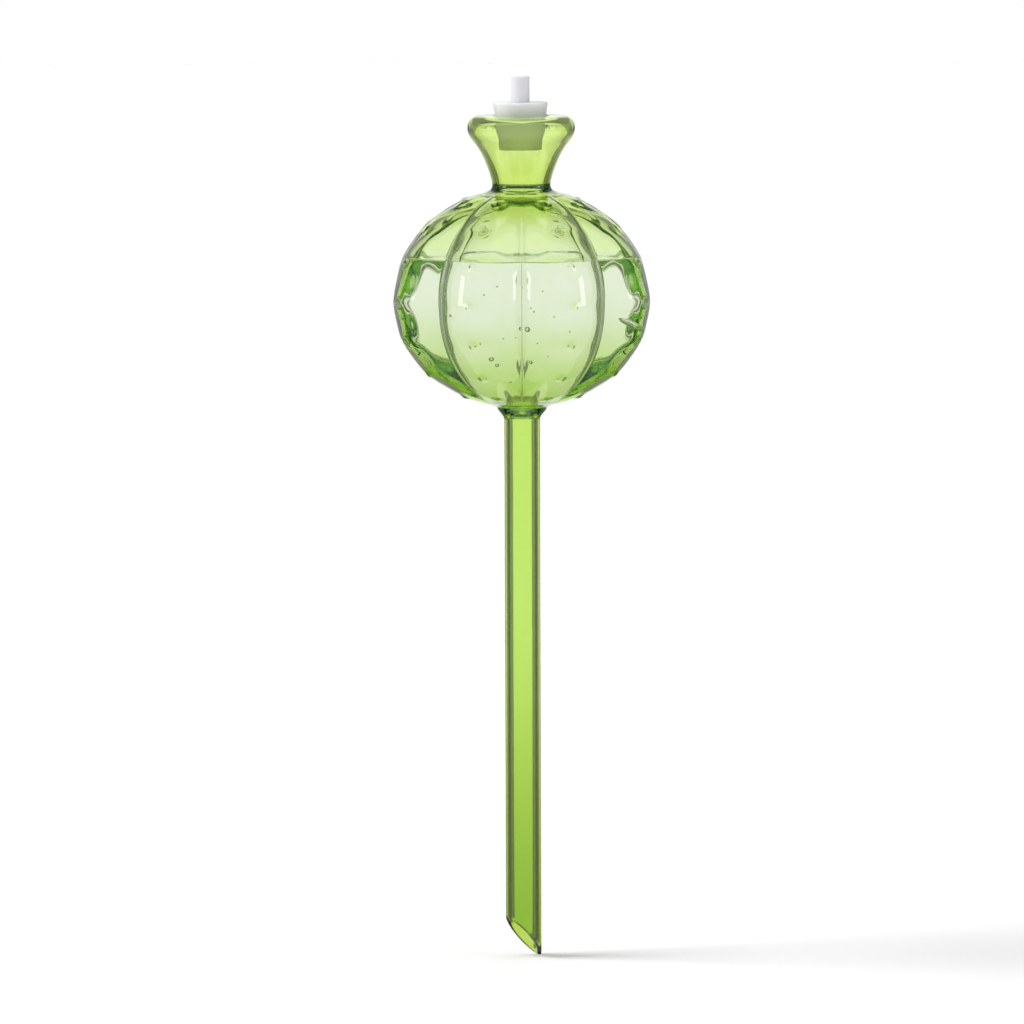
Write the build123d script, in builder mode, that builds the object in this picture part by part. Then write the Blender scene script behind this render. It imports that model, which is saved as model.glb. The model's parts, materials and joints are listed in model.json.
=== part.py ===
from build123d import *
import os
from math import asin, atan2, cos, hypot, pi, radians, sin, sqrt, tan

# A glass watering globe. A slant-cut tube is pushed into the soil, a lobed blown globe holds the
# water, and a funnel neck is closed by a soft stopper with a small pull peg.
# Millimetres. Z runs up the stem, the lowest point of the tip is at zero, and the front is at -Y.

# stem
stem_radius = 5.5
stem_bore_radius = 3.9
stem_length = 171.6
tip_slope = 49.4
tip_turn = 30.0
tip_round = 0.45
collar_radius = 7.9
collar_height = 5.0
collar_edge = 1.0

# globe
lobe_count = 8
globe_radius = 41.7
globe_above_stem = 32.9
globe_top_height = 33.2
globe_foot_spare = 0.7
globe_top_spare = 1.5
lobe_round = 14.2
groove_round = 1.6
globe_wall = 1.8
floor_wall = 2.4
roof_wall = 2.2
outline_count = 13

# knobs on the lobes
knob_sides = 6
knob_radius = 1.45
knob_tip_radius = 0.55
knob_stand = 1.0
knob_root = 0.9
knob_rows = 7
knob_pitch = 20.9

# neck
neck_foot_radius = 10.4
neck_waist_radius = 8.8
neck_waist_height = 2.0
neck_cone_radius = 12.25
neck_cone_height = 11.7
neck_cone_lean = 20.0
neck_flare_radius = 15.6
neck_flare_height = 16.4
neck_flare_lean = 42.0
neck_shoulder_radius = 16.7
neck_shoulder_height = 19.8
neck_height = 23.7
neck_wall = 1.4
rim_flat = 0.5
crown_radius = 11.0

# stopper and its pull peg
stopper_top_radius = 8.5
stopper_tip_radius = 6.6
stopper_length = 14.2
stopper_stand = 4.7
stopper_edge = 0.5
stopper_lean = 3.1
mouth_clearance = 0.35
peg_radius = 2.87
peg_length = 16.5
peg_depth = 8.4
peg_edge = 0.4
peg_clearance = 0.1
peg_hole_spare = 1.5

# levels along the axis
stem_top = stem_length
collar_level = stem_top - collar_height
globe_level = stem_top + globe_above_stem
globe_top = globe_level + globe_top_height
neck_top = globe_top + neck_height
mouth_level = neck_top - neck_wall / 2

# the globe's half heights, as if it were closed above and below
globe_rise = globe_top_height + globe_top_spare
globe_drop = globe_above_stem + globe_foot_spare

# sizes that follow from the fits
stopper_taper = (stopper_top_radius - stopper_tip_radius) / stopper_length
mouth_radius = stopper_top_radius - stopper_stand * stopper_taper + mouth_clearance
neck_bore_radius = neck_waist_radius - neck_wall
tip_corner = pi / 2 - radians(tip_slope)
tip_sharp_drop = tip_round * (1 / tan(tip_corner / 2) - 1)
knob_root_radius = knob_radius + knob_root * (knob_radius - knob_tip_radius) / knob_stand
half_lobe = pi / lobe_count


def lobe_outline(crest, lobe_radius, groove_radius, level):
    """A closed outline of round lobes with narrow round grooves between them, laid at one level."""
    centre = crest - lobe_radius
    both = lobe_radius + groove_radius
    groove_centre = centre * cos(half_lobe) + sqrt(both**2 - (centre * sin(half_lobe)) ** 2)
    groove_bottom = groove_centre - groove_radius
    ahead = centre + lobe_radius * (groove_centre * cos(half_lobe) - centre) / both
    aside = lobe_radius * groove_centre * sin(half_lobe) / both
    touch, spread = hypot(ahead, aside), atan2(aside, ahead)
    with BuildSketch(Plane.XY.offset(level)) as outline:
        with BuildLine():
            for lobe in range(lobe_count):
                turn = (2 * lobe + 1) * half_lobe
                start, end = turn - spread, turn + spread
                groove = turn + half_lobe
                after = groove + half_lobe - spread
                ThreePointArc(
                    (touch * cos(start), touch * sin(start)),
                    (crest * cos(turn), crest * sin(turn)),
                    (touch * cos(end), touch * sin(end)),
                )
                ThreePointArc(
                    (touch * cos(end), touch * sin(end)),
                    (groove_bottom * cos(groove), groove_bottom * sin(groove)),
                    (touch * cos(after), touch * sin(after)),
                )
        make_face()
    return outline.sketch


def globe_outlines(inset, rise, drop, low, high):
    """Outlines of the globe, moved in by inset, from one level to another, drawn in as an ellipse is."""
    low_turn = asin(low / drop)
    high_turn = asin(high / rise)
    outlines = []
    for step in range(outline_count):
        turn = low_turn + (high_turn - low_turn) * step / (outline_count - 1)
        level = (rise if turn > 0 else drop) * sin(turn)
        share = cos(turn)
        outlines.append(lobe_outline((globe_radius - inset) * share, (lobe_round - inset) * share,
                                     (groove_round + inset) * share, globe_level + level))
    return outlines


def knob_planes():
    """A plane inside each lobe, square to its crest, for every row of knobs."""
    planes = []
    for lobe in range(lobe_count):
        turn = (2 * lobe + 1) * half_lobe
        for row in range(knob_rows):
            climb = radians(knob_pitch * (row - (knob_rows - 1) / 2))
            height = globe_rise if climb > 0 else globe_drop
            out = Vector(cos(climb) * cos(turn) / globe_radius, cos(climb) * sin(turn) / globe_radius,
                         sin(climb) / height).normalized()
            crest = Vector(globe_radius * cos(climb) * cos(turn), globe_radius * cos(climb) * sin(turn),
                           globe_level + height * sin(climb))
            planes.append(Plane(origin=crest - out * knob_root, z_dir=out))
    return planes


def knob_ring(radius, height):
    """The corners of a knob at one height above its root."""
    turns = [2 * pi * side / knob_sides for side in range(knob_sides)]
    return [(radius * cos(turn), radius * sin(turn), height) for turn in turns]


def neck_point(radius, height, lean, inset):
    """A point of the neck's line, moved in square to the wall by inset."""
    return radius - inset * cos(radians(lean)), globe_top + height + inset * sin(radians(lean))


def neck_line(inset):
    """The line of the neck from its waist, up the cone and the flare, to the widest part of its shoulder."""
    return [
        neck_point(neck_waist_radius, neck_waist_height, 0, inset),
        neck_point(neck_cone_radius, neck_cone_height, neck_cone_lean, inset),
        neck_point(neck_flare_radius, neck_flare_height, neck_flare_lean, inset),
        neck_point(neck_shoulder_radius, neck_shoulder_height, 0, inset),
    ]


with BuildPart() as globe:
    for outline in globe_outlines(0, globe_rise, globe_drop, -globe_above_stem, globe_top_height):
        add(outline)
    loft()
    with Locations(*knob_planes()):
        ConvexPolyhedron(knob_ring(knob_root_radius, 0) + knob_ring(knob_tip_radius, knob_root + knob_stand))
    for outline in globe_outlines(globe_wall, globe_rise - roof_wall, globe_drop - floor_wall,
                                  floor_wall - globe_above_stem, globe_top_height - roof_wall):
        add(outline)
    loft(mode=Mode.SUBTRACT)
    with Locations((0, 0, stem_top)):
        Cylinder(stem_bore_radius, globe_above_stem, mode=Mode.SUBTRACT,
                 align=(Align.CENTER, Align.CENTER, Align.MIN))
    with Locations((0, 0, globe_level)):
        Cylinder(neck_bore_radius, globe_top_height, mode=Mode.SUBTRACT,
                 align=(Align.CENTER, Align.CENTER, Align.MIN))
globe.part.label = "globe"

with BuildPart() as neck:
    with BuildSketch(Plane.XZ):
        with BuildLine():
            upright = ((0, 1), (0, 1))
            outer, inner = neck_line(0), neck_line(neck_wall)
            foot = (neck_foot_radius, globe_top)
            rim_radius = mouth_radius + neck_wall / 2
            shoulder_level = globe_top + neck_shoulder_height
            crown_rise = neck_top - shoulder_level
            Line(foot, outer[0])
            Spline(*outer, tangents=upright)
            EllipticalCenterArc((crown_radius, shoulder_level), neck_shoulder_radius - crown_radius,
                                crown_rise, arc_size=90)
            Line((crown_radius, neck_top), (rim_radius, neck_top))
            Polyline((rim_radius, neck_top), (mouth_radius, mouth_level + rim_flat / 2),
                     (mouth_radius, mouth_level - rim_flat / 2), (rim_radius, neck_top - neck_wall),
                     (crown_radius, neck_top - neck_wall), inner[3])
            Polyline(*reversed(inner), (neck_bore_radius, globe_top), foot)
        make_face()
    revolve(axis=Axis.Z)
neck.part.label = "neck"

with BuildPart() as collar:
    with BuildSketch(Plane.XZ):
        with BuildLine():
            collar_foot = (stem_radius, collar_level)
            collar_side = (collar_radius, stem_top - collar_edge)
            Spline(collar_foot, collar_side, tangents=((0, 1), (0, 1)))
            Polyline(collar_side, (collar_radius, stem_top), (stem_bore_radius, stem_top),
                     (stem_bore_radius, collar_level), collar_foot)
        make_face()
    revolve(axis=Axis.Z)
collar.part.label = "collar"

low_side = Vector(cos(radians(tip_turn)), sin(radians(tip_turn)), 0)
tip_plane = Plane(
    origin=low_side * stem_radius - Vector(0, 0, tip_sharp_drop),
    z_dir=low_side * sin(radians(tip_slope)) + Vector(0, 0, cos(radians(tip_slope))),
)
with BuildPart() as stem:
    with BuildSketch(Plane.XY.offset(-tip_sharp_drop)):
        Circle(stem_radius)
        Circle(stem_bore_radius, mode=Mode.SUBTRACT)
    extrude(amount=collar_level + tip_sharp_drop)
    split(bisect_by=tip_plane, keep=Keep.TOP)
    cut_face = stem.faces().filter_by(GeomType.PLANE).sort_by(Axis.Z)[0]
    fillet(cut_face.edges(), radius=tip_round)
stem.part.label = "stem"

stopper_up = Vector(-sin(radians(stopper_lean)), 0, cos(radians(stopper_lean)))
stopper_plane = Plane(
    origin=Vector(0, 0, mouth_level) - stopper_up * (stopper_length - stopper_stand),
    x_dir=(cos(radians(stopper_lean)), 0, sin(radians(stopper_lean))),
    z_dir=stopper_up,
)
with BuildPart(stopper_plane) as stopper:
    Cone(stopper_tip_radius, stopper_top_radius, stopper_length,
         align=(Align.CENTER, Align.CENTER, Align.MIN))
    chamfer(stopper.edges().filter_by(GeomType.CIRCLE), length=stopper_edge)
    with Locations((0, 0, stopper_length)):
        Hole(peg_radius + peg_clearance, depth=peg_depth + peg_hole_spare)
stopper.part.label = "stopper"

with BuildPart(stopper_plane.offset(stopper_length - peg_depth)) as pull_peg:
    Cylinder(peg_radius, peg_length, align=(Align.CENTER, Align.CENTER, Align.MIN))
    chamfer(pull_peg.edges().filter_by(GeomType.CIRCLE), length=peg_edge)
pull_peg.part.label = "pull_peg"

os.makedirs("parts", exist_ok=True)
for piece in (globe, neck, collar, stem, stopper, pull_peg):
    export_step(piece.part, f"parts/{piece.part.label}.step")
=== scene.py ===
import json
import math
import bpy
import numpy as np
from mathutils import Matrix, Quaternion, Vector


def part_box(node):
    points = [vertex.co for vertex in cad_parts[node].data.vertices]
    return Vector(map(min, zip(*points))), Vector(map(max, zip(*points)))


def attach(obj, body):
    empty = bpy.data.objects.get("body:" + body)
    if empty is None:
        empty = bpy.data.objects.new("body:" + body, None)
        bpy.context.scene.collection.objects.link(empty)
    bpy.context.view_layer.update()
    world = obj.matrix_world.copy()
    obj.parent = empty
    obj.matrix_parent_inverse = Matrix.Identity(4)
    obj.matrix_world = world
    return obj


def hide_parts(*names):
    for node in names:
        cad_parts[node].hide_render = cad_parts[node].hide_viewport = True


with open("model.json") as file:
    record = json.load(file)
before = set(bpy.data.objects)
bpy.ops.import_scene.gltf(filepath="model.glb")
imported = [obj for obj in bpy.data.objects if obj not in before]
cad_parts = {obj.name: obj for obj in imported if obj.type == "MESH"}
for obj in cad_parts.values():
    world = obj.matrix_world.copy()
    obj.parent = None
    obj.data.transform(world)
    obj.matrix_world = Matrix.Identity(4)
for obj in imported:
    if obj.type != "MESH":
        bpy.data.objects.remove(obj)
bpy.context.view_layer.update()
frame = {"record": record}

# A glass watering globe, more than half full of water, with a soft stopper and its pull peg.
# Metres. Z runs up the stem, the tip stands at zero, and the front is at -Y.

mounts = {mount["name"]: mount for mount in frame["record"]["mounts"]}
mm = 0.001


def middle(node):
    """The centre of a node's box."""
    low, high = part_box(node)
    return (low + high) / 2


# levels and main sizes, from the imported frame
collar_low, collar_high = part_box("collar")
globe_low, globe_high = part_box("globe")
neck_low, neck_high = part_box("neck")
peg_low, peg_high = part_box("pull_peg")
stem_radius = mounts["stem_outside"]["dims"]["r_mm"] * mm
bore_radius = mounts["stem_bore"]["dims"]["r_mm"] * mm
collar_radius = collar_high.x
shoulder_radius = neck_high.x
rim_level = neck_high.z
globe_height = globe_high.z - globe_low.z

# globe: round lobes with narrow grooves between them. Its half heights are those of an ellipse,
# which the neck and the stem cut off.
lobe_count = 8
half_lobe = math.pi / lobe_count
crest_radius = 1.0515 * globe_high.x
lobe_round = 14.2 * mm
groove_round = 0.6 * mm
globe_wall = 0.9 * mm
roof_wall = 2.2 * mm
floor_wall = 2.4 * mm
globe_level = globe_low.z + 0.4977 * globe_height
globe_rise = 0.525 * globe_height
globe_drop = 0.5083 * globe_height
globe_over = globe_high.z - globe_level
globe_under = globe_level - globe_low.z

# how far from the globe's ends its lines stop, so that neck and collar flow into it
outer_foot_gap, outer_top_gap = 0.35 * mm, 0.9 * mm
inner_foot_gap, inner_top_gap = 0.2 * mm, 0.3 * mm

# the lobes fade to the least share of their depth as the globe narrows towards neck and stem;
# start and reach are shares of its width
fade_start, fade_reach, fade_least = 0.25, 0.5, 0.2

# knobs on the lobes
knob_rows = 7
knob_pitch = math.radians(20.9)
knob_height = 0.5 * mm
knob_reach = 1.3 * mm

# the crests are flattened from knob to knob, partly straight and partly in a soft wave
flat_width, flat_edge = 0.6, 0.27
flat_depth = 0.45
straight_part = 0.35

# neck, with stations of its line: radius, height over the globe, and lean of the wall in degrees
neck_wall = 1.4 * mm
waist_radius = 8.8 * mm
throat_radius = waist_radius - neck_wall
crown_radius = 11.0 * mm
mouth_radius = 8.25 * mm
foot_radius = 9.7 * mm
neck_stations = [
    (waist_radius, 2.0 * mm, 0), (9.6 * mm, 5.2 * mm, 14), (10.9 * mm, 8.8 * mm, 18),
    (12.25 * mm, 11.7 * mm, 24), (13.6 * mm, 14.0 * mm, 38), (15.7 * mm, 16.5 * mm, 40),
    (shoulder_radius, 19.0 * mm, 8),
]

# tip of the stem, with the levels at which the straight tube starts outside and inside
tip_slope = math.radians(49.4)
tip_turn = math.radians(30.0)
tip_round = 0.5 * mm
tube_start, bore_start = 14.5 * mm, 15.5 * mm

# the straight stretches, by their distance from both ends, where one ring in so many is kept
straight_low, straight_high = 1.5 * mm, 1.0 * mm
tube_one_in, bore_one_in = 8, 6

# water
water_level = globe_level + 12.9 * mm
water_foot = globe_low.z + 0.3 * mm
water_gap = 0.04 * mm
water_dip = 0.3 * mm
meniscus_height = 1.3 * mm
meniscus_reach = 2.2 * mm
meniscus_fall = 2.6
water_edge = water_level + meniscus_height

# stopper and peg
plug_length = 14.2 * mm
plug_top, plug_tip = 8.5 * mm, 6.6 * mm
peg_radius = 2.87 * mm
peg_room = 0.1 * mm
peg_hole_depth = 9.9 * mm
peg_slack = 0.3 * mm

# how fine the meshes are
columns_per_half_lobe = 20
column_crowding = 0.7
outer_step, inner_step = 0.55 * mm, 0.8 * mm
outer_steps, inner_steps = 90, 70
tip_rows = 13
tip_run_rows = 6
turned_columns = 96
ball_rows, ball_columns = 10, 16


def off_crest(turns):
    """How far each turn is from the nearest crest of a lobe."""
    return np.abs(turns % (2 * half_lobe) - half_lobe)


def half_chord(radius, aside):
    """Half the length of the chord that passes a circle's centre at a distance."""
    return np.sqrt(np.maximum(radius ** 2 - aside ** 2, 0))


def smooth(share):
    """A share held between 0 and 1, with a soft start and end."""
    share = np.clip(share, 0, 1)
    return share * share * (3 - 2 * share)


def lobe_section(turns, inset):
    """Radius of the globe's outline at each turn: round lobes joined by narrow grooves."""
    lobe, groove = lobe_round - inset, groove_round + inset
    centre = crest_radius - lobe_round
    both = lobe + groove
    lean, aside = math.cos(half_lobe), math.sin(half_lobe)
    far = centre * lean + math.sqrt(both ** 2 - (centre * aside) ** 2)
    touch = math.atan2(lobe * far * aside / both, centre + lobe * (far * lean - centre) / both)
    from_crest = off_crest(turns)
    from_groove = half_lobe - from_crest
    on_lobe = centre * np.cos(from_crest) + half_chord(lobe, centre * np.sin(from_crest))
    on_groove = far * np.cos(from_groove) - half_chord(groove, far * np.sin(from_groove))
    return np.where(from_crest < touch, on_lobe, on_groove)


def lobe_turns(per_half):
    """Turns of the columns, closest together at the grooves and on the crests of the lobes."""
    steps = np.linspace(0, 1, per_half, endpoint=False)
    crowded = steps - column_crowding / (2 * math.pi) * np.sin(2 * math.pi * steps)
    spread = half_lobe * crowded
    sector = np.concatenate([spread, [half_lobe], 2 * half_lobe - spread[:0:-1]])
    return np.concatenate([sector + 2 * half_lobe * lobe for lobe in range(lobe_count)])


def rounded_line(points, passes=4):
    """A line with its corners cut again and again, with the ends kept."""
    line = np.array(points, float)
    for _ in range(passes):
        near = 0.75 * line[:-1] + 0.25 * line[1:]
        far = 0.25 * line[:-1] + 0.75 * line[1:]
        cut = np.stack([near, far], 1).reshape(-1, line.shape[1])
        line = np.concatenate([line[:1], cut, line[-1:]])
    return line


def even_line(line, step):
    """The same line with its points at even distances, measured on radius and height."""
    reach = line[:, 0] + line[:, 1] * crest_radius
    run = np.concatenate([[0], np.cumsum(np.hypot(np.diff(reach), np.diff(line[:, 2])))])
    count = max(int(round(run[-1] / step)), 2)
    marks = np.linspace(0, run[-1], count + 1)
    return np.stack([np.interp(marks, run, line[:, k]) for k in range(line.shape[1])], 1)


def thin_out(line, low, high, one_in):
    """The line with only one point in so many kept where the tube is straight."""
    straight = (line[:, 2] > low) & (line[:, 2] < high)
    marks = np.cumsum(straight)
    return line[~straight | (marks % one_in == 0)]


def corners(radius, level, *offsets):
    """Points of a line near a round edge, each some millimetres out and up from it."""
    return [(radius + out * mm, 0, level + up * mm) for out, up in offsets]


def globe_line(rise, drop, low, high, steps):
    """Points (radius, share of the lobed outline, height) up the globe, drawn in as an ellipse."""
    line = []
    for turn in np.linspace(math.asin(low / drop), math.asin(high / rise), steps):
        height = (rise if turn > 0 else drop) * math.sin(turn)
        line.append((0, math.cos(turn), globe_level + height))
    return line


def neck_line(inset):
    """The neck from its waist to the widest part of its shoulder, moved in by the wall."""
    line = []
    for radius, height, degrees in neck_stations:
        lean = math.radians(degrees)
        line.append((radius - inset * math.cos(lean), 0,
                     neck_low.z + height + inset * math.sin(lean)))
    return line


def rings(line, outline, turns):
    """Rings for a line of (radius, share of the lobed outline, height)."""
    share = line[:, 1:2]
    fade = fade_least + (1 - fade_least) * smooth((share - fade_start) / fade_reach)
    mean = outline.mean()
    reach = line[:, :1] + share * (mean + (outline[None, :] - mean) * fade)
    height = np.repeat(line[:, 2:3], len(turns), axis=1)
    return np.stack([reach * np.cos(turns), reach * np.sin(turns), height], 2)


def grid_faces(rows, columns, closed_rows):
    """Four-sided faces between rings, and from the last ring to the first if closed_rows."""
    row = np.arange(rows if closed_rows else rows - 1)[:, None]
    column = np.arange(columns)[None, :]
    a = row * columns + column
    b = row * columns + (column + 1) % columns
    c = ((row + 1) % rows) * columns + (column + 1) % columns
    d = ((row + 1) % rows) * columns + column
    return np.stack([a, b, c, d], 2).reshape(-1, 4).tolist()


def end_faces(rows, columns, low_end, top_end):
    """Three-sided faces from the first ring to a point under it, and from the last to one above."""
    last = (rows - 1) * columns
    faces = []
    for column in range(columns):
        following = (column + 1) % columns
        faces.append((low_end, following, column))
        faces.append((top_end, last + column, last + following))
    return faces


def looking(way):
    """The turn that makes a lamp or a camera look one way, upright."""
    return Vector(way).to_track_quat("-Z", "Y")


def stand(name, data, place=(0, 0, 0), turn=Quaternion()):
    """A new object in the scene, at a place and turned."""
    made = bpy.data.objects.new(name, data)
    made.location = place
    made.rotation_mode = "QUATERNION"
    made.rotation_quaternion = turn
    bpy.context.scene.collection.objects.link(made)
    return made


def make_piece(name, points, faces, body, slot, *nodes):
    """A smooth mesh piece that rides on a body and stands for CAD nodes."""
    mesh = bpy.data.meshes.new(name)
    mesh.from_pydata(np.asarray(points, float).reshape(-1, 3).tolist(), [], faces)
    mesh.update()
    mesh.polygons.foreach_set("use_smooth", [True] * len(mesh.polygons))
    piece = bpy.data.objects.new(name, mesh)
    bpy.context.scene.collection.objects.link(piece)
    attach(piece, body)
    if nodes:
        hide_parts(*nodes)
    return piece


# glass: up the outside from the tube to the mouth, down the inside of neck and globe to the bore
turns = lobe_turns(columns_per_half_lobe)
columns = len(turns)
outer_section = lobe_section(turns, 0)
inner_section = lobe_section(turns, globe_wall)

under_rim = rim_level - neck_wall
outer_points = (
    [(stem_radius, 0, tube_start)]
    + corners(stem_radius, collar_low.z, (0, 0), (0.15, 1.6))
    + corners(collar_radius, collar_high.z, (-0.5, -1.5), (0, -0.3))
    + globe_line(globe_rise, globe_drop, outer_foot_gap - globe_under,
                 globe_over - outer_top_gap, outer_steps)
    + corners(foot_radius, neck_low.z, (0, 0.4))
    + neck_line(0)
    + corners(shoulder_radius, rim_level, (-0.1, -2.4), (-1.4, -0.5))
    + corners(crown_radius, rim_level, (2.0, 0))
    + corners(mouth_radius, rim_level, (0.9, -0.05), (0, -0.25))
    + corners(mouth_radius, under_rim, (0, 0.1), (0.9, 0))
    + corners(crown_radius, under_rim, (1.6, -0.1))
    + corners(shoulder_radius - neck_wall, under_rim, (-0.9, -0.8))
    + neck_line(neck_wall)[::-1]
    + corners(throat_radius, neck_low.z, (0, 0.5))
    + corners(throat_radius, neck_low.z - roof_wall, (0.4, 0))
)
inner_points = (
    globe_line(globe_rise - roof_wall, globe_drop - floor_wall,
               floor_wall + inner_foot_gap - globe_under,
               globe_over - roof_wall - inner_top_gap, inner_steps)[::-1]
    + corners(bore_radius, globe_low.z + floor_wall, (0.6, -0.1))
    + corners(bore_radius, globe_low.z, (0, 0.8))
    + [(bore_radius, 0, collar_low.z), (bore_radius, 0, bore_start)]
)
outer_line = even_line(rounded_line(outer_points), outer_step)
inner_line = even_line(rounded_line(inner_points), inner_step)
outer_line = thin_out(outer_line, tube_start + straight_low, collar_low.z - straight_high,
                      tube_one_in)
inner_line = thin_out(inner_line, bore_start + straight_low, globe_low.z - straight_high,
                      bore_one_in)


def face_lobes(points):
    """Flatten the crests between the rows of knobs, so that the outline runs from knob to knob."""
    level = points[:, :, 2] - globe_level
    height = np.where(level > 0, globe_rise, globe_drop)
    climb = np.arcsin(np.clip(level / height, -1, 1))
    on_globe = np.abs(climb) < knob_pitch * (knob_rows - 1) / 2
    on_globe &= points[:, :, 2] > globe_low.z
    within = climb % knob_pitch - knob_pitch / 2
    half_pitch = np.cos(knob_pitch / 2)
    straight = half_pitch / np.cos(within)
    wavy = 1 - (1 - half_pitch) * np.cos(math.pi * within / knob_pitch) ** 2
    near = smooth((flat_width - off_crest(turns) / half_lobe) / flat_edge)
    share = (straight_part * straight + (1 - straight_part) * wavy) ** (flat_depth * near)
    share = np.where(on_globe, share, 1)
    centre = np.array([0, 0, globe_level])
    return centre + (points - centre) * share[:, :, None]


def raise_knobs(points):
    """Push the outer rings out along the wall where the knobs stand on the lobes."""
    along = np.gradient(points, axis=0)
    across = np.roll(points, -1, axis=1) - np.roll(points, 1, axis=1)
    out = np.cross(across, along)
    out /= np.linalg.norm(out, axis=2, keepdims=True)
    lift = np.zeros(points.shape[:2])
    for lobe in range(lobe_count):
        turn = half_lobe * (2 * lobe + 1)
        for row in range(knob_rows):
            climb = knob_pitch * (row - (knob_rows - 1) / 2)
            height = globe_rise if climb > 0 else globe_drop
            crest = np.array([crest_radius * math.cos(climb) * math.cos(turn),
                              crest_radius * math.cos(climb) * math.sin(turn),
                              globe_level + height * math.sin(climb)])
            away = np.linalg.norm(points - crest, axis=2) / knob_reach
            lift = np.maximum(lift, np.exp(-away ** 2))
    return points + out * (lift * knob_height)[:, :, None]


def tip_end(reach):
    """Height of the slanted cut at a radius, on every column."""
    return (stem_radius - reach * np.cos(turns - tip_turn)) * math.tan(tip_slope)


def run_up(first, last):
    """Rings between the slanted end and a level ring, without both."""
    shares = np.linspace(0, 1, tip_run_rows + 2)[1:-1, None, None]
    return first + (last - first) * shares


# the slanted end, rounded over from the outside to the bore
tip_mid = (stem_radius + bore_radius) / 2
tip_half = (stem_radius - bore_radius) / 2
end_rows = []
for step in np.linspace(0, math.pi, tip_rows):
    reach = tip_mid + tip_half * math.cos(step)
    height = tip_end(reach) + tip_round * (1 - math.sin(step))
    end_rows.append(np.stack([reach * np.cos(turns), reach * np.sin(turns), height], 1))
end_rows = np.array(end_rows)
end_rows[:, :, 2] -= end_rows[:, :, 2].min()

outer_rings = raise_knobs(face_lobes(rings(outer_line, outer_section, turns)))
inner_rings = rings(inner_line, inner_section, turns)
glass_rings = np.concatenate([
    run_up(end_rows[0], outer_rings[0]), outer_rings, inner_rings,
    run_up(inner_rings[-1], end_rows[-1]), end_rows[::-1],
])
glass = make_piece("glass_vessel", glass_rings, grid_faces(len(glass_rings), columns, True),
                   "vessel", "glass", "globe", "neck", "collar", "stem")

# the inner faces that touch the water are marked, for their own refraction
wet_rows = np.zeros(len(glass_rings))
first_inner = tip_run_rows + len(outer_rings)
for row, level in enumerate(inner_line[:-1, 2]):
    if level < water_edge and inner_line[row + 1, 2] > water_foot:
        wet_rows[first_inner + row] = 1
wet = glass.data.attributes.new("wet", "FLOAT", "FACE")
wet.data.foreach_set("value", np.repeat(wet_rows, columns))


# water: fills the globe to its level, and lies against the inner wall
def drawn_in(ring, share):
    """A copy of a ring, moved towards the axis by a share of its reach."""
    ring = ring.copy()
    ring[:, :2] *= 1 - share
    return ring


wetted = (inner_line[:, 2] > water_foot) & (inner_line[:, 2] < water_edge)
side = inner_rings[wetted][::-1].copy()
reach = np.linalg.norm(side[:, :, :2], axis=2, keepdims=True)
side[:, :, :2] *= (reach - water_gap) / reach
edge = side[-1]
edge_reach = np.linalg.norm(edge[:, :2], axis=1)
bottom_shares = (0.7, 0.3)
bottom_rows = []
for share in bottom_shares:
    ring = drawn_in(side[0], share)
    ring[:, 2] += water_dip * share
    bottom_rows.append(ring)
top_rows = []
meniscus_shares = np.linspace(0.02, 1, 9) * meniscus_reach / crest_radius
level_shares = np.linspace(0.09, 0.94, 12)
for share in np.concatenate([meniscus_shares, level_shares]):
    ring = drawn_in(edge, share)
    fall = np.exp(-meniscus_fall * share * edge_reach / meniscus_reach)
    ring[:, 2] = water_level + (edge[:, 2] - water_level) * fall
    top_rows.append(ring)
water_rings = np.concatenate([np.array(bottom_rows), side, np.array(top_rows)])
side_faces = range(len(bottom_rows) * columns, (len(bottom_rows) + len(side) - 1) * columns)
water_points = water_rings.reshape(-1, 3).tolist()
water_faces = grid_faces(len(water_rings), columns, False)
water_faces += end_faces(len(water_rings), columns, len(water_points), len(water_points) + 1)
water_points += [[0, 0, water_rings[0][0, 2]], [0, 0, water_level]]

# air bubbles in the water, as hollows of its mesh: in millimetres, how far right and up of the
# globe's middle they are seen, and their radius. The long one is drawn out both ways.
bubbles = [
    (-1.0, -9.3, 0.62), (2.4, -9.5, 0.86), (-9.3, -19.0, 0.78), (-7.6, -21.3, 0.62),
    (3.4, -20.8, 0.62), (-11.4, 1.9, 0.28), (-7.7, 4.9, 0.26), (0.3, 4.9, 0.26), (6.8, 3.4, 0.24),
    (3.4, -2.2, 0.26), (4.3, -3.4, 0.3), (9.9, -5.0, 0.24), (-6.2, -12.4, 0.24),
    (-2.5, -12.4, 0.22), (-12.4, -14.2, 0.3), (5.3, -14.2, 0.24), (8.0, -18.3, 0.24),
    (-21.2, 1.9, 0.4), (-20.0, -4.9, 0.4), (-4.1, -27.5, 0.3), (14.0, -10.2, 0.26),
]
long_bubbles = [(32.0, -9.5, 1.0, (2.6, 0.0, -1.55))]
bubble_cover = 0.5
seen_scale, seen_lift = 0.875, 1.6


def true_height(seen):
    """Height over the globe's middle, in millimetres, of what is seen at one through the water."""
    return seen_scale * seen + seen_lift


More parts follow.
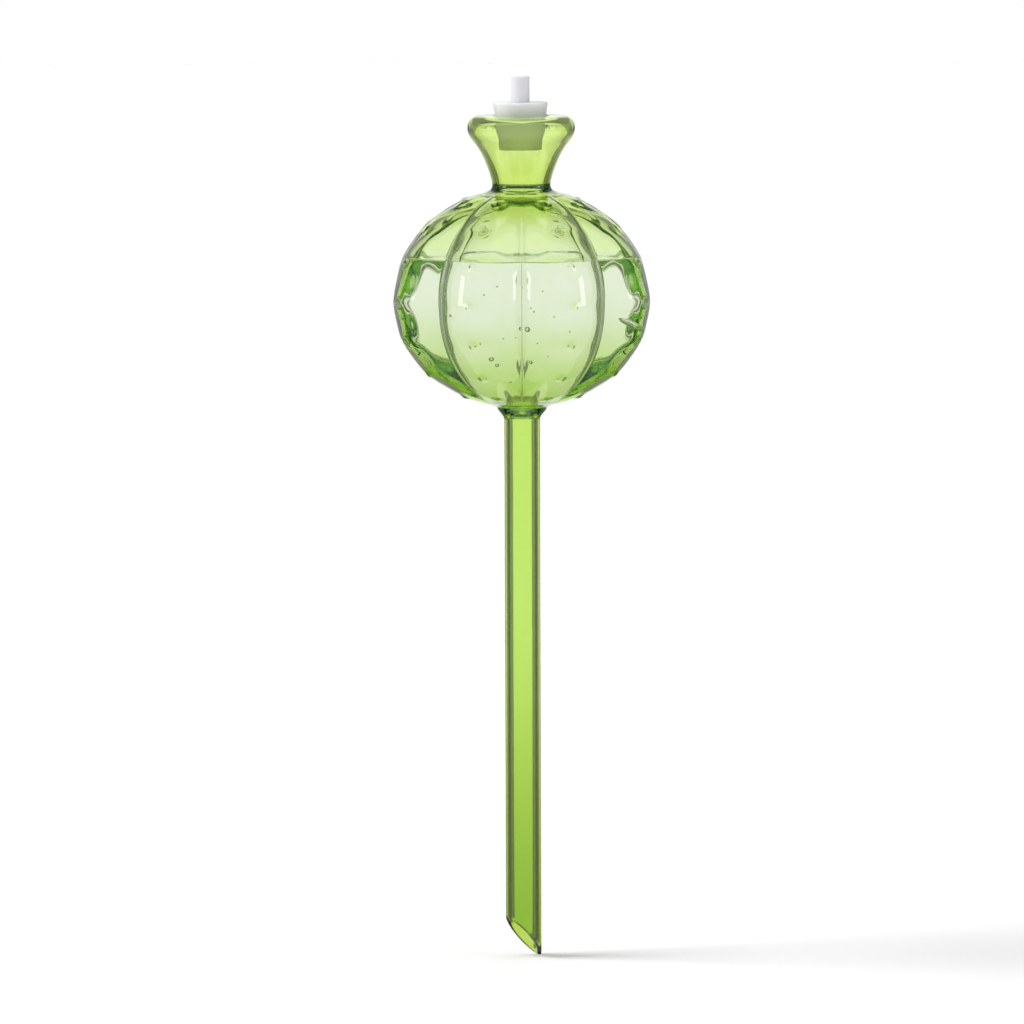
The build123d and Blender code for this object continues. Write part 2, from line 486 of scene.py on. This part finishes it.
def ball(centre, size, stretch):
    """Points and faces of a ball that is turned inside out, and drawn out both ways by stretch."""
    around = ball_columns
    points = [centre + Vector((0, 0, size))]
    for row in range(1, ball_rows):
        tilt = math.pi * row / ball_rows
        for step in range(around):
            turn = 2 * math.pi * step / around
            points.append(centre + size * Vector((math.sin(tilt) * math.cos(turn),
                                                  math.sin(tilt) * math.sin(turn),
                                                  math.cos(tilt))))
    points.append(centre - Vector((0, 0, size)))
    low = 1 + (ball_rows - 2) * around
    faces = []
    for step in range(around):
        following = (step + 1) % around
        faces.append((0, 1 + following, 1 + step))
        for a in range(1, low, around):
            faces.append((a + step, a + following, a + around + following, a + around + step))
        faces.append((len(points) - 1, low + step, low + following))
    if stretch.length:
        way = stretch.normalized()
        points = [point + (point - centre).dot(way) / size * stretch for point in points]
    return points, faces


def front_wall(across, level):
    """Depth of the inner wall at the front, for a place left or right of the axis."""
    climb = math.asin(max(min((level - globe_level) / (globe_drop - floor_wall), 1), -1))
    return half_chord(inner_section.min() * math.cos(climb), across)


for across, up, size, stretch in [(*bubble, (0, 0, 0)) for bubble in bubbles] + long_bubbles:
    level = globe_level + true_height(up) * mm
    depth = front_wall(across * mm, level) - (size + bubble_cover) * mm
    points, faces = ball(Vector((across * mm, -depth, level)), size * mm, Vector(stretch) * mm)
    first = len(water_points)
    water_points += [list(point) for point in points]
    water_faces += [tuple(first + corner for corner in face) for face in faces]
water = make_piece("water", water_points, water_faces, "vessel", None)


# stopper and peg, turned on their leaning axis
def turned(name, line, centre, up, body, slot, *nodes):
    """A closed piece turned about an axis, from a line that starts and ends on the axis."""
    angles = np.linspace(0, 2 * math.pi, turned_columns, endpoint=False)
    tilt = Vector((0, 0, 1)).rotation_difference(up).to_matrix()
    round_rows = line[1:-1]
    points = []
    for radius, _, height in round_rows:
        for angle in angles:
            points.append(Vector((radius * math.cos(angle), radius * math.sin(angle), height)))
    faces = grid_faces(len(round_rows), turned_columns, False)
    faces += end_faces(len(round_rows), turned_columns, len(points), len(points) + 1)
    points += [Vector((0, 0, line[0][2])), Vector((0, 0, line[-1][2]))]
    points = [list(centre + tilt @ point) for point in points]
    return make_piece(name, points, faces, body, slot, *nodes)


stopper_mid = middle("stopper")
peg_mid = middle("pull_peg")
plug_up = (peg_mid - stopper_mid).normalized()
half_plug = plug_length / 2
half_peg = ((peg_high - peg_low).z / plug_up.z - peg_slack) / 2
hole_radius = peg_radius + peg_room
hole_floor = half_plug - peg_hole_depth
plug_line = rounded_line(
    [(0, 0, -half_plug)]
    + corners(plug_tip, -half_plug, (-0.9, 0), (-0.1, 0.05), (0.05, 0.7))
    + corners(plug_top, half_plug, (-0.1, -0.8), (-0.05, -0.05), (-0.7, 0))
    + corners(hole_radius, half_plug, (0.5, 0), (0, -0.1), (0, -0.8))
    + corners(hole_radius, hole_floor, (0, 0.5), (-0.4, 0))
    + [(0, 0, hole_floor)], passes=3)
peg_line = rounded_line(
    [(0, 0, -half_peg)]
    + corners(peg_radius, -half_peg, (-0.5, 0), (0, 0.1), (0, 0.6))
    + corners(peg_radius, half_peg, (0, -0.6), (0, -0.1), (-0.5, 0))
    + [(0, 0, half_peg)], passes=3)
plug = turned("stopper_plug", plug_line, stopper_mid, plug_up, "stopper", "silicone", "stopper")
peg = turned("peg", peg_line, peg_mid, plug_up, "stopper", "peg_plastic", "pull_peg")


class Socket:
    """A number or colour of a node tree that can be used in plain sums."""

    def __init__(self, tree, link):
        self.tree, self.link = tree, link

    def sum_with(self, operation, other):
        return self.tree.node("ShaderNodeMath", {"operation": operation}, {0: self, 1: other})

    def __add__(self, other):
        return self.sum_with("ADD", other)

    def __mul__(self, other):
        return self.sum_with("MULTIPLY", other)

    def __truediv__(self, other):
        return self.sum_with("DIVIDE", other)

    def __pow__(self, other):
        return self.sum_with("POWER", other)

    def largest(self, other):
        return self.sum_with("MAXIMUM", other)

    def spread(self, low, high):
        """This number moved from low..high to 0..1, smoothly and held at both ends."""
        return self.tree.node("ShaderNodeMapRange", {"interpolation_type": "SMOOTHSTEP"}, {
            "Value": self, "From Min": low, "From Max": high, "To Min": 0.0, "To Max": 1.0})


class Tree:
    """A node tree that is filled by plain calls."""

    def __init__(self, owner):
        owner.use_nodes = True
        self.tree = owner.node_tree
        self.tree.nodes.clear()

    def node(self, kind, settings=None, values=None, out=0):
        made = self.tree.nodes.new(kind)
        for name, value in (settings or {}).items():
            setattr(made, name, value)
        for name, value in (values or {}).items():
            if isinstance(value, Socket):
                self.tree.links.new(value.link, made.inputs[name])
            else:
                made.inputs[name].default_value = value
        return Socket(self, made.outputs[out]) if made.outputs else made

    def mix(self, share, first, second):
        """A colour between two others."""
        return self.node("ShaderNodeMix", {"data_type": "RGBA"}, {0: share, 6: first, 7: second}, 2)

    def place(self):
        """Where a point is on its own object, in metres."""
        return self.node("ShaderNodeTexCoord", out=3)

    def noise(self, place, scale, detail):
        return self.node("ShaderNodeTexNoise", values={
            "Vector": place, "Scale": scale, "Detail": detail})

    def bump(self, height, strength, distance):
        return self.node("ShaderNodeBump", values={
            "Height": height, "Strength": strength, "Distance": distance})

    def clear(self, base, ior, **further):
        """A polished surface that lets all light through."""
        return self.node("ShaderNodeBsdfPrincipled", values={
            "Base Color": base, "Transmission Weight": 1.0, "Roughness": 0.0, "IOR": ior,
            **further})

    def milky(self, base, bump, through, roughness, ior, cloudy, depth):
        """A soft plastic that light goes into and comes out of again."""
        return self.node("ShaderNodeBsdfPrincipled", values={
            "Base Color": base, "Transmission Weight": through, "Roughness": roughness,
            "IOR": ior, "Subsurface Weight": cloudy, "Subsurface Radius": (1, 1, 1),
            "Subsurface Scale": depth, "Normal": bump})

    def glow(self, shade, strength):
        return self.node("ShaderNodeEmission", values={"Color": shade, "Strength": strength})

    def output(self, **values):
        self.node("ShaderNodeOutputMaterial", values=values)


def colour(red, green, blue):
    """A colour from its 0 to 255 screen values."""
    def plain(value):
        value /= 255
        return value / 12.92 if value <= 0.04045 else ((value + 0.055) / 1.055) ** 2.4
    return (plain(red), plain(green), plain(blue), 1)


def grey(value):
    """A grey of a plain strength, from 0 to 1."""
    return (value, value, value, 1)


def material(name, piece, further=False):
    """The empty tree of a new material, alone on its piece unless it is a further one."""
    made = bpy.data.materials.new(name)
    if not further:
        piece.data.materials.clear()
    piece.data.materials.append(made)
    return Tree(made)


white = grey(1)
glass_ior, water_ior = 1.5, 1.333
glass_to_water_ior = 1.125
same_ior = 1.0

# glass: clear at the globe's belly, greener towards the neck, and greener and darker towards the
# bottom of the globe and the tip.
# Each tint takes over from one level to another.
tints = [
    (water_level, water_level + 3 * mm, (245, 252, 230)),
    (water_level + 7 * mm, globe_high.z, (235, 247, 178)),
    (neck_low.z + 4 * mm, neck_low.z + 14 * mm, (245, 254, 207)),
    (globe_level + 4 * mm, globe_low.z, (210, 231, 152)),
    (collar_high.z, collar_low.z, (230, 247, 176)),
    (0.68 * collar_low.z, tip_round, (192, 218, 95)),
]
tree = material("green_glass", glass)
place = tree.place()
height = tree.node("ShaderNodeSeparateXYZ", values={0: place}, out=2)
tint = colour(246, 249, 246)
for low, high, next_tint in tints:
    tint = tree.mix(height.spread(low, high), tint, colour(*next_tint))
ripple = tree.noise(place, scale=55.0, detail=2.0)
bump = tree.bump(ripple, strength=0.08, distance=2 * mm)
dry = tree.clear(tint, glass_ior, Normal=bump)
soaked = tree.clear(tint, glass_to_water_ior, Normal=bump)
wet = tree.node("ShaderNodeAttribute", {"attribute_name": "wet"}, out=2)
surface = tree.node("ShaderNodeMixShader", values={0: wet, 1: dry, 2: soaked})
absorb = tree.node("ShaderNodeVolumeAbsorption", values={
    "Color": colour(214, 238, 100), "Density": 150.0})
tree.output(Surface=surface, Volume=absorb)

# water: its side against the glass bends no light, as the wet glass does that
tree = material("clear_water", water)
tree.output(Surface=tree.clear(white, water_ior))
tree = material("water_side", water, True)
tree.output(Surface=tree.clear(white, same_ior))
for face in side_faces:
    water.data.polygons[face].material_index = 1

tree = material("milky_silicone", plug)
place = tree.place()
cloud = tree.noise(place, scale=260.0, detail=3.0)
grain = tree.noise(place, scale=2600.0, detail=2.0)
base = tree.mix(cloud, colour(236, 238, 237), colour(244, 246, 245))
bump = tree.bump(grain, strength=0.12, distance=0.2 * mm)
tree.output(Surface=tree.milky(base, bump, through=0.2, roughness=0.45, ior=1.41, cloudy=0.8,
                               depth=6 * mm))

tree = material("peg_plastic", peg)
cloud = tree.noise(tree.place(), scale=300.0, detail=2.0)
base = tree.mix(cloud, colour(234, 234, 239), colour(241, 241, 245))
bump = tree.bump(cloud, strength=0.05, distance=0.2 * mm)
tree.output(Surface=tree.milky(base, bump, through=0.25, roughness=0.35, ior=1.45, cloudy=0.3,
                               depth=3 * mm))

# studio: white for the camera. Glass sees a room, with a white wall straight behind the object
# and darker bands to both sides of it: outer and inner edge in degrees off the back, and colour.
room_front = (252, 253, 255)
room_bands = [
    (84, 76, (60, 60, 64)), (66, 58, (92, 90, 98)), (46, 36, (150, 148, 155)),
    (23, 20, (140, 140, 142)), (16, 13, (255, 255, 255)),
]
world_fill = grey(0.68)
paper = grey(0.8)
floor_glow = 0.04
floor_half = 6.0
floor_gap = 0.2 * mm
least_reach = 0.000001  # kept from zero, for the directions straight up and down


def facing(degrees):
    """Cosine of an angle off the direction straight behind the object."""
    return math.cos(math.radians(degrees))


def room(tree, way):
    """Colour of the room in a direction, of which only the level part counts."""
    parts = tree.node("ShaderNodeSeparateXYZ", values={0: way}).link.node.outputs
    across, along = Socket(tree, parts["X"]), Socket(tree, parts["Y"])
    behind = along / (across * across + along * along).largest(least_reach) ** 0.5
    shade = colour(*room_front)
    for outer, inner, band in room_bands:
        shade = tree.mix(behind.spread(facing(outer), facing(inner)), shade, colour(*band))
    return shade


def seen_through(tree):
    """One for rays that a piece reflects or lets through, and one for the camera's own rays."""
    paths = tree.node("ShaderNodeLightPath").link.node.outputs
    glossy = Socket(tree, paths["Is Glossy Ray"])
    passed = Socket(tree, paths["Is Transmission Ray"])
    return glossy.largest(passed), Socket(tree, paths["Is Camera Ray"])


world = bpy.data.worlds.new("studio")
bpy.context.scene.world = world
tree = Tree(world)
through, seen = seen_through(tree)
shade = tree.mix(through, world_fill, room(tree, tree.node("ShaderNodeTexCoord", out=0)))
shade = tree.mix(seen, shade, white)
backdrop = tree.node("ShaderNodeBackground", values={"Color": shade, "Strength": 1.0})
tree.node("ShaderNodeOutputWorld", values={"Surface": backdrop})

# floor: white paper, which glass sees with the room's bands, as it looks down on it
floor_corners = [(-1, -1), (1, -1), (1, 1), (-1, 1)]
mesh = bpy.data.meshes.new("floor")
mesh.from_pydata([(x * floor_half, y * floor_half, 0) for x, y in floor_corners],
                 [], [(0, 1, 2, 3)])
floor = bpy.data.objects.new("floor", mesh)
floor.location.z = -floor_gap
bpy.context.scene.collection.objects.link(floor)
tree = material("paper_floor", floor)
diffuse = tree.node("ShaderNodeBsdfDiffuse", values={"Color": paper})
through, seen = seen_through(tree)
lit = tree.node("ShaderNodeAddShader", values={0: diffuse, 1: tree.glow(white, seen * floor_glow)})
mirrored = tree.glow(room(tree, tree.place()), 1.0)
tree.output(Surface=tree.node("ShaderNodeMixShader", values={0: through, 1: lit, 2: mirrored}))

# lamps: a soft key from the left, above, and two weak panels at the sides for the highlights
key_energy = 2.4
key_angle = math.radians(30)
key_way = (1, 0.03, -1.0)
panel_places = {"soft_left": (-1.45, -0.45, 0.5), "soft_right": (1.45, -0.45, 0.5)}
panel_target = Vector((0, 0, 0.22))
panel_wide, panel_tall = 0.35, 0.5
panel_watts = 2.2

sun = bpy.data.lights.new("key", "SUN")
sun.energy = key_energy
sun.angle = key_angle
key = stand("key", sun, turn=looking(key_way))
key.visible_glossy = False
key.visible_transmission = False
for name, place in panel_places.items():
    panel = bpy.data.lights.new(name, "AREA")
    panel.shape, panel.energy = "RECTANGLE", panel_watts
    panel.size, panel.size_y = panel_wide, panel_tall
    stand(name, panel, place, looking(panel_target - Vector(place))).visible_transmission = False

# camera: a long lens, a little above the object
pixel = 0.3096 * mm
image_size = 1024
away = 3.0
tilt = math.radians(5.3)
roll = math.radians(0.19)
aim = Vector((-10.4 * pixel, 0, 138.5 * mm))
far_clip = 30

back = Vector((0, -math.cos(tilt), math.sin(tilt)))
lens = bpy.data.cameras.new("camera")
lens.lens = lens.sensor_width * away / (image_size * pixel)
lens.clip_end = far_clip
camera = stand("camera", lens, aim + back * away, looking(-back) @ Quaternion((0, 0, 1), -roll))
bpy.context.scene.camera = camera

# glass in front of glass and water needs many bounces
glass_bounces, other_bounces = 28, 16
scene = bpy.context.scene
scene.cycles.max_bounces = glass_bounces
scene.cycles.transmission_bounces = glass_bounces
scene.cycles.glossy_bounces = other_bounces
scene.cycles.transparent_max_bounces = other_bounces
scene.cycles.caustics_reflective = False
scene.cycles.caustics_refractive = True
scene.cycles.sample_clamp_indirect = 4.0
scene.view_settings.view_transform = "Standard"
